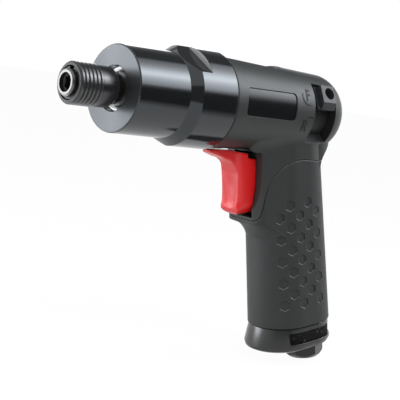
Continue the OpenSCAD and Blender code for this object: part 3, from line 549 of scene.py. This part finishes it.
dress(bright_steel, "chuck_spring_seat", "bit_ball_left", "bit_ball_right")
spindle_steel = finish("spindle_steel", (0.15, 0.147, 0.142), 0.36, 0.05, metallic=1.0,
                       grain_m=0.001)
spindle_tree = spindle_steel.node_tree
spindle_r2, _ = off_axis(spindle_tree)
# The inside of the socket is painted dark as shade
repaint(spindle_steel, below(spindle_tree, spindle_r2, SOCKET_R ** 2), (0.07, 0.07, 0.068), 0.6)
dress(spindle_steel, "spindle")

# Inner works
# Hardened gears, clutch and motor behind the case, with drawn springs and ground bearings.
# They turn inside the closed housing.
spring_wire = finish("spring_wire", (0.42, 0.43, 0.44), 0.3, metallic=1.0, grain_m=0.001)
dress(spring_wire, "chuck_spring", "clutch_spring", "detent_spring", "throttle_spring")
gear_steel = finish("gear_steel", (0.33, 0.34, 0.35), 0.32, metallic=1.0, grain_m=0.001)
dress(gear_steel, "clutch_cam", "clutch_nut", "planet_carrier", "planet_gear_1", "planet_gear_2",
      "planet_gear_3", "ring_gear", "sun_pinion", "rotor")
dress(bright_steel, "clutch_balls", "planet_pins", "trigger_rod", "detent_ball",
      "front_bearing_outer", "front_bearing_inner", "front_bearing_balls",
      "rear_bearing_outer", "rear_bearing_inner", "rear_bearing_balls")
ground_iron = finish("ground_iron", (0.3, 0.31, 0.32), 0.4, metallic=1.0, grain_m=0.001)
dress(ground_iron, "front_end_plate", "motor_cylinder", "rear_end_plate")
vane_fibre = finish("vane_fibre", (0.16, 0.1, 0.06), 0.6, grain_m=0.0006, grain_depth=0.00003)
dress(vane_fibre, "rotor_vanes")
valve_plastic = finish("valve_plastic", (0.012, 0.012, 0.013), 0.5, grain_m=0.0006)
dress(valve_plastic, "reverse_valve")
dress(bronze, "throttle_bush", "inlet_washer", "inlet_screen")
seal_rubber = finish("seal_rubber", (0.01, 0.01, 0.01), 0.6, grain_m=0.0006)
dress(seal_rubber, "throttle_seal", "throttle_valve")

# Body
# Moulded plastic with a fine grain: barrel, neck and grip core in one piece.
# Its edges come rounded out of the mould.
WINDOW_BACK, WINDOW_FRONT, WINDOW_LOW, WINDOW_HIGH = -0.11703, -0.10297, -41.95, 47.35
WINDOW_MARGIN, WINDOW_INNER = 0.0001, 0.003
SEAM_X, STRIP_UP, STRIP_LOW = -0.0537, 0.985, 0.014
body_plastic = finish("body_plastic", (0.022, 0.024, 0.024), 0.42, 0.05, specular=0.33,
                      grain_m=0.0005, grain_depth=0.000015, edge_m=0.0004, edge_wear_and_highlight=1.3)
dress(body_plastic, "housing")
body_tree = body_plastic.node_tree
body_axes = axes_of(body_tree)


def beyond_ray(clock, sense):
    """1 where a point lies past a ray from the barrel's axis, taken upwards or downwards."""
    turn = math.radians(clock)
    rise = sum_of(body_tree, "MULTIPLY", body_axes["Z"], math.cos(turn) * sense)
    swing = sum_of(body_tree, "MULTIPLY", body_axes["Y"], -math.sin(turn) * sense)
    return above(body_tree, sum_of(body_tree, "ADD", rise, swing), -WINDOW_MARGIN)


# The walls of the lever's window are painted darker as the shade they lie in, and keep the dull
# face of the mould
in_window = all_of(body_tree, beyond_ray(WINDOW_LOW, 1), beyond_ray(WINDOW_HIGH, -1),
                   above(body_tree, body_axes["X"], WINDOW_BACK - WINDOW_MARGIN),
                   below(body_tree, body_axes["X"], WINDOW_FRONT + WINDOW_MARGIN),
                   above(body_tree, body_axes["Y"], WINDOW_INNER))
repaint(body_plastic, in_window, (0.011, 0.0115, 0.0115), 0.6)
# The front rim lies in the seam behind the case and is painted near black as the shade there
repaint(body_plastic, above(body_tree, body_axes["X"], SEAM_X), (0.003, 0.003, 0.003), 0.7)
# The flat strip along the top is smoother than the grained sides, and painted a little lighter as a
# highlight
body_face = body_tree.nodes.new("ShaderNodeNewGeometry")
face_axes = body_tree.nodes.new("ShaderNodeSeparateXYZ")
wire(body_tree, body_face.outputs["True Normal"], face_axes.inputs[0])
highlit_strip = all_of(body_tree, above(body_tree, face_axes.outputs["Z"], STRIP_UP),
               above(body_tree, body_axes["Z"], STRIP_LOW))
repaint(body_plastic, highlit_strip, (0.026, 0.028, 0.028), 0.36)

# Blend of barrel and neck
# The same moulding: on either side a hollow round carries the barrel over into the neck.
# It runs as a ball would roll along the corner, small at both ends.
GRIP_ORIGIN, GRIP_TILT = Vector((-0.0987, 0, 0)), math.radians(14.5)
BARREL_FRONT, BARREL_FRONT_R, BARREL_SLOPE = -0.053, 0.0214, 0.0029 / 0.0619
BALL_AT_ENDS, BALL_SWELL, SWELL_STATIONS, BLEND_DEPTH = 0.002, 0.009, 4, 0.0008
BALL_LOWEST, BALL_HIGHEST, HALVINGS = -0.06, -0.004, 40
WINDOW_REACH = 0.04


def barrel_r(x):
    return BARREL_FRONT_R - (BARREL_FRONT - x) * BARREL_SLOPE


def out_of_grip(along, side, up):
    """A point given in the frame of the leaning grip."""
    return GRIP_ORIGIN + Matrix.Rotation(GRIP_TILT, 3, "Y") @ Vector((along, side, up))


def above_barrel(point):
    return math.hypot(point.y, point.z) - barrel_r(point.x)


def neck_stations():
    """Points along the neck's left side, from back to front, each with the way outwards."""
    rear, flat, corner = (-0.004, 0, 0.015), (0.004, 0, 0.0149), (0.021, 0.0065, 0.006)
    flank = 81.6
    turns = [(rear, a) for a in (122, 114, 106, 98, 90)]
    turns += [(flat, a) for a in (90, 86)]
    for share in (0, 0.25, 0.5, 0.75):
        turns.append((tuple(p + (q - p) * share for p, q in zip(flat, corner)), flank))
    turns += [(corner, a) for a in (flank, 66, 50, 34, 18)]
    for (along, side, r), a in turns:
        a = math.radians(a)
        yield along + r * math.cos(a), side + r * math.sin(a), math.cos(a), math.sin(a)


def rolled_section(bm, along, side, out_along, out_side, ball_r, arcs=10):
    """One section of the blend: the ball's arc between wall and barrel, backed inside the wall."""
    low, high = BALL_LOWEST, BALL_HIGHEST
    for _ in range(HALVINGS):
        up = (low + high) / 2
        middle = out_of_grip(along + ball_r * out_along, side + ball_r * out_side, up)
        low, high = (up, high) if above_barrel(middle) > ball_r else (low, up)
    to_wall = (out_of_grip(along, side, up) - middle).normalized()
    to_barrel = Vector((0, -middle.y, -middle.z)).normalized()
    ends = [to_wall.slerp(to_barrel, k / arcs) for k in range(arcs + 1)]
    ring = [bm.verts.new(middle + end * ball_r) for end in ends]
    ring += [bm.verts.new(middle + end * (ball_r + BLEND_DEPTH)) for end in reversed(ends)]
    return [bm.edges.new((ring[k - 1], ring[k])) for k in range(len(ring))]


def settled(obj):
    """The mesh of an object as its modifiers leave it; the object itself goes."""
    bm = bmesh.new()
    bm.from_mesh(bpy.data.meshes.new_from_object(
        obj.evaluated_get(bpy.context.evaluated_depsgraph_get())))
    bpy.data.objects.remove(obj)
    return bm


def cut_away(bm, tool_bm):
    """What is left of a solid once another one is taken out of it."""
    whole, tool = meshed("whole", bm), meshed("tool", tool_bm)
    cut = whole.modifiers.new("cut", "BOOLEAN")
    cut.operation, cut.solver, cut.object = "DIFFERENCE", "EXACT", tool
    left = settled(whole)
    bpy.data.objects.remove(tool)
    return left


blend = bmesh.new()
stations = list(neck_stations())
rings = []
for k, station in enumerate(stations):
    swell = min(1, k / SWELL_STATIONS, (len(stations) - 1 - k) / SWELL_STATIONS)
    rings.append(rolled_section(blend, *station, BALL_AT_ENDS + BALL_SWELL * swell))
for before, after in zip(rings, rings[1:]):
    bmesh.ops.bridge_loops(blend, edges=before + after)
bmesh.ops.holes_fill(blend, edges=[e for e in blend.edges if e.is_boundary], sides=0)
mirrored = bmesh.ops.duplicate(blend, geom=blend.verts[:] + blend.edges[:] + blend.faces[:])["geom"]
bmesh.ops.scale(blend, vec=(1, -1, 1),
                verts=[v for v in mirrored if isinstance(v, bmesh.types.BMVert)])
bmesh.ops.recalc_face_normals(blend, faces=blend.faces)
# The window of the reverse lever stays open through the blend
window = bmesh.new()
for x in (WINDOW_BACK, WINDOW_FRONT):
    fan = [(x, 0, 0)]
    for a in (WINDOW_LOW, -20, 0, 20):
        fan.append((x, WINDOW_REACH * math.cos(math.radians(a)),
                    WINDOW_REACH * math.sin(math.radians(a))))
    window.faces.new([window.verts.new(co) for co in fan])
bmesh.ops.bridge_loops(window, edges=window.edges)
bmesh.ops.recalc_face_normals(window, faces=window.faces)
finished("neck_blend", cut_away(blend, window), body_plastic, "body", "body_plastic")

# Direction marks
# F and R beside the window of the reverse lever, each with a piece of an arc, filled dark and
# just proud. They follow the round of the barrel.
MARK_PROUD, MARK_DEEP, MARK_SLICE = 0.00012, 0.0003, 0.0005
LETTER_SIZE, LETTER_NARROWING, LETTER_SWELL = 0.0078, 0.82, 0.00016
ARC_HALF_WIDTH, ARC_STEPS = 0.0003, 12
mark_fill = finish("mark_fill", (0.006, 0.006, 0.007), 0.6, specular=0.3)


def round_barrel(bm, x, clock):
    """Wraps a flat mark round the barrel, with its right towards the back and its top upwards."""
    for step in range(-5, 6):
        bmesh.ops.bisect_plane(bm, geom=bm.verts[:] + bm.edges[:] + bm.faces[:], dist=1e-6,
                               plane_co=(0, step * MARK_SLICE, 0), plane_no=(0, 1, 0))
    for vert in bm.verts:
        along = x - vert.co.x
        turn = math.radians(clock) + vert.co.y / barrel_r(along)
        out = barrel_r(along) + vert.co.z
        vert.co = (along, out * math.cos(turn), out * math.sin(turn))


def direction_mark(letter, x, clock, arc_middle, arc_r, arc_from, arc_to):
    """A letter on the barrel with an arc about a point beside it, from one angle to another."""
    text = bpy.data.curves.new("letter_" + letter, "FONT")
    text.body = letter
    text.size = LETTER_SIZE
    text.extrude = (MARK_PROUD + MARK_DEEP) / 2
    text.offset = LETTER_SWELL
    text.align_x, text.align_y = "CENTER", "CENTER"
    bm = settled(linked("letter_" + letter, text))
    bmesh.ops.remove_doubles(bm, verts=bm.verts, dist=1e-6)
    bmesh.ops.scale(bm, vec=(LETTER_NARROWING, 1, 1), verts=bm.verts)
    bmesh.ops.translate(bm, vec=(0, 0, (MARK_PROUD - MARK_DEEP) / 2), verts=bm.verts)
    letter_verts = set(bm.verts)
    start = Matrix.Rotation(math.radians(arc_from), 3, "Z")
    corners = ((-ARC_HALF_WIDTH, -MARK_DEEP), (ARC_HALF_WIDTH, -MARK_DEEP),
               (ARC_HALF_WIDTH, MARK_PROUD), (-ARC_HALF_WIDTH, MARK_PROUD))
    section = bm.faces.new([bm.verts.new(start @ Vector((arc_r + w, 0, h))) for w, h in corners])
    bmesh.ops.spin(bm, geom=[section, *section.edges, *section.verts], cent=(0, 0, 0),
                   axis=(0, 0, 1), angle=math.radians(arc_to - arc_from), steps=ARC_STEPS)
    bmesh.ops.translate(bm, vec=(*arc_middle, 0),
                        verts=[v for v in bm.verts if v not in letter_verts])
    bmesh.ops.recalc_face_normals(bm, faces=bm.faces)
    round_barrel(bm, x, clock)
    finished("mark_" + letter.lower(), bm, mark_fill, "body", "body_plastic")


direction_mark("F", -0.0983, 25.2, (0.0006, -0.0002), 0.0042, 165, 285)
direction_mark("R", -0.0977, -17.6, (0.0026, 0), 0.0046, 62, 112)

# Side plate
# A glossy plate let into the left of the barrel, a little below its surface.
# It carries nothing.
plate_gloss = finish("plate_gloss", (0.006, 0.007, 0.008), 0.18, 0.02, specular=0.26)
dress(plate_gloss, "side_plate")

# Grip
# Soft rubber moulded round the core, with hexagonal dimples on both sides.
# A narrow groove parts it from the body.
RIM_LEAN, RIM_GAIN = 0.12, 5
grip_rubber = finish("grip_rubber", (0.0165, 0.018, 0.018), 0.55, 0.06, specular=0.35,
                     grain_m=0.0004, grain_depth=0.00002, edge_m=0.0004, edge_wear_and_highlight=1.2)
rubber_tree = grip_rubber.node_tree
heights = []
for kind in ("BEVEL", "NEW_GEOMETRY"):
    faces = next(n for n in rubber_tree.nodes if n.type == kind)
    split = rubber_tree.nodes.new("ShaderNodeSeparateXYZ")
    wire(rubber_tree, faces.outputs["Normal"], split.inputs[0])
    heights.append(split.outputs["Z"])
lean = sum_of(rubber_tree, "SUBTRACT", *heights)
# Rims that look up are painted pale as highlights, and rims that look down are painted dark as
# shade
highlit_rims = sum_of(rubber_tree, "SUBTRACT", lean, RIM_LEAN)
shaded_rims = sum_of(rubber_tree, "SUBTRACT", -RIM_LEAN, lean)
repaint(grip_rubber, sum_of(rubber_tree, "MULTIPLY", highlit_rims, RIM_GAIN, clamp=True),
        (0.16, 0.165, 0.165), 0.5)
repaint(grip_rubber, sum_of(rubber_tree, "MULTIPLY", shaded_rims, RIM_GAIN, clamp=True),
        (0.004, 0.004, 0.004), 0.7)
dress(grip_rubber, "rubber_grip")

# Reverse lever
# A satin grey knob with a round sight hole, on the rotary valve behind the motor.
# It swings in the window of the body.
RIB_BACK = -0.1083
lever_plastic = finish("lever_plastic", (0.033, 0.035, 0.037), 0.42, specular=0.24, grain_m=0.0005,
                       grain_depth=0.00001)
lever_tree = lever_plastic.node_tree
# The low rib ahead of the knob is painted darker as the shade of the window it lies in
shaded_rib = above(lever_tree, axes_of(lever_tree)["X"], RIB_BACK)
repaint(lever_plastic, shaded_rib, (0.007, 0.008, 0.011), 0.65)
softened("reverse_lever", 0.0003, lever_plastic, "reverse", "lever_grey", shortest_m=0.0003)

# Trigger
# Red moulded plastic, hollowed for the finger and polished by use.
# It slides on its rod in the neck's pocket.
TRIGGER_TILT = Matrix.Rotation(math.radians(11.5), 3, "Y")
GRID, SMOOTHINGS = 0.0004, 5
TOE_FRONT, TOE_LOW, TOE_R, TOE_CORNER_R = 0.0327, -0.0458, 0.007, 0.004
SIDE_ROUND, SIDE_BACK, HALF_WIDTH = 0.0062, 0.019, 0.007
DISH_LOW, DISH_HIGH, DISH_HALF, DISH_BACK = -0.0426, -0.0225, 0.0056, 0.026
WAIST_DEPTH, DISH_DEPTH, DISH_FADE, DISH_RUN_OUT = 0.0006, 0.0012, 0.003, 0.012
TOP_Z, NOSE_BACK, NOSE_FADE, NOSE_SKIN, NOSE_FIT = -0.0216, 0.03, 0.004, 0.0015, 0.85
trigger_red = finish("trigger_red", (0.47, 0.005, 0.006), 0.33, 0.03, specular=0.5, speckle=0.04)


def tighter_toe(at):
    """Draws the toe's wide round out to a smaller one."""
    past = Vector((at.x - (TOE_FRONT - TOE_R), TOE_LOW + TOE_R - at.z))
    if past.x <= 0 or past.y <= 0:
        return
    way = past.normalized()
    inner = TOE_R - TOE_CORNER_R
    reach = TOE_R / max(way)
    if min(way) * reach > inner:
        across = inner * (way.x + way.y)
        reach = across + math.sqrt(across ** 2 - 2 * inner ** 2 + TOE_CORNER_R ** 2)
    past *= reach / TOE_R
    at.x, at.z = TOE_FRONT - TOE_R + past.x, TOE_LOW + TOE_R - past.y


def rounder_corners(at):
    """Rounds the two lower corners as seen from the front."""
    corner = Vector((abs(at.y) - (HALF_WIDTH - SIDE_ROUND), TOE_LOW + SIDE_ROUND - at.z))
    if at.x > SIDE_BACK and min(corner) > 0 and corner.length > SIDE_ROUND:
        corner *= SIDE_ROUND / corner.length
        at.y = math.copysign(HALF_WIDTH - SIDE_ROUND + corner.x, at.y)
        at.z = TOE_LOW + SIDE_ROUND - corner.y


def hollowed(at):
    """Gives the whole front a waist, and its middle a finger dish with a round lower end."""
    if at.x <= DISH_BACK or not TOE_LOW < at.z < DISH_HIGH:
        return
    fade = min(1, (at.x - DISH_BACK) / DISH_FADE)
    at.x -= WAIST_DEPTH * fade * math.sin(math.pi * (at.z - TOE_LOW) / (DISH_HIGH - TOE_LOW))
    off = math.hypot(at.y, min(0, at.z - DISH_LOW - DISH_HALF)) / DISH_HALF
    if off < 1:
        rise = min(1, (DISH_HIGH - at.z) / DISH_RUN_OUT)
        at.x -= DISH_DEPTH * fade * rise * rise * (3 - 2 * rise) * (1 - off ** 2)


def under_barrel(along, place):
    """Draws up the sides of the nose's top, so that it follows the round of the barrel."""
    below_top = TOP_Z - place.z
    if along > NOSE_BACK and below_top < NOSE_SKIN:
        share = min(1, (along - NOSE_BACK) / NOSE_FADE) * (1 - below_top / NOSE_SKIN)
        r = barrel_r(place.x)
        place.z += NOSE_FIT * share * (r - math.sqrt(r ** 2 - place.y ** 2))


rough_trigger = meshed("trigger_rough", merged_copy("trigger"))
even_grid = rough_trigger.modifiers.new("even_grid", "REMESH")
even_grid.mode = "VOXEL"
even_grid.voxel_size = GRID
moulded = settled(rough_trigger)
for vert in moulded.verts:
    at = TRIGGER_TILT.inverted() @ (vert.co - GRIP_ORIGIN)
    tighter_toe(at)
    rounder_corners(at)
    hollowed(at)
    place = GRIP_ORIGIN + TRIGGER_TILT @ at
    under_barrel(at.x, place)
    vert.co = place
for _ in range(SMOOTHINGS):
    bmesh.ops.smooth_vert(moulded, verts=moulded.verts, factor=0.5,
                          use_axis_x=True, use_axis_y=True, use_axis_z=True)
finished("trigger_moulded", moulded, trigger_red, "trigger", "trigger_red", "trigger")

# Base
# A semi-gloss cap closes the grip; air leaves through the felt in its slot and enters by the
# hexagonal bush. The bush screws up into the grip and holds the cap.
FLECKS_PER_M, FLECK_FROM = 900, 0.7
base_plastic = finish("base_plastic", (0.007, 0.0075, 0.008), 0.25, specular=0.6, grain_m=0.0005,
                      grain_depth=0.00001)
softened("base_cap", 0.0003, base_plastic, "body", "base_plastic", bend=40, shortest_m=0.00015)
muffler_felt = finish("muffler_felt", (0.005, 0.005, 0.005), 0.9, specular=0.12, speckle=0.8,
                      grain_m=0.0011, grain_depth=0.0003)
felt_tree = muffler_felt.node_tree
felt_place = felt_tree.nodes.new("ShaderNodeTexCoord")
fleck = felt_tree.nodes.new("ShaderNodeTexNoise")
fleck.inputs["Scale"].default_value = FLECKS_PER_M
wire(felt_tree, felt_place.outputs["Object"], fleck.inputs["Vector"])
repaint(muffler_felt, above(felt_tree, fleck.outputs["Fac"], FLECK_FROM), (0.14, 0.14, 0.13), 0.9)
dress(muffler_felt, "muffler")
inlet_black = finish("inlet_black", (0.008, 0.009, 0.01), 0.25, specular=0.4)
softened("inlet_bush", 0.0003, inlet_black, "body", "inlet_black", shortest_m=0.0002)
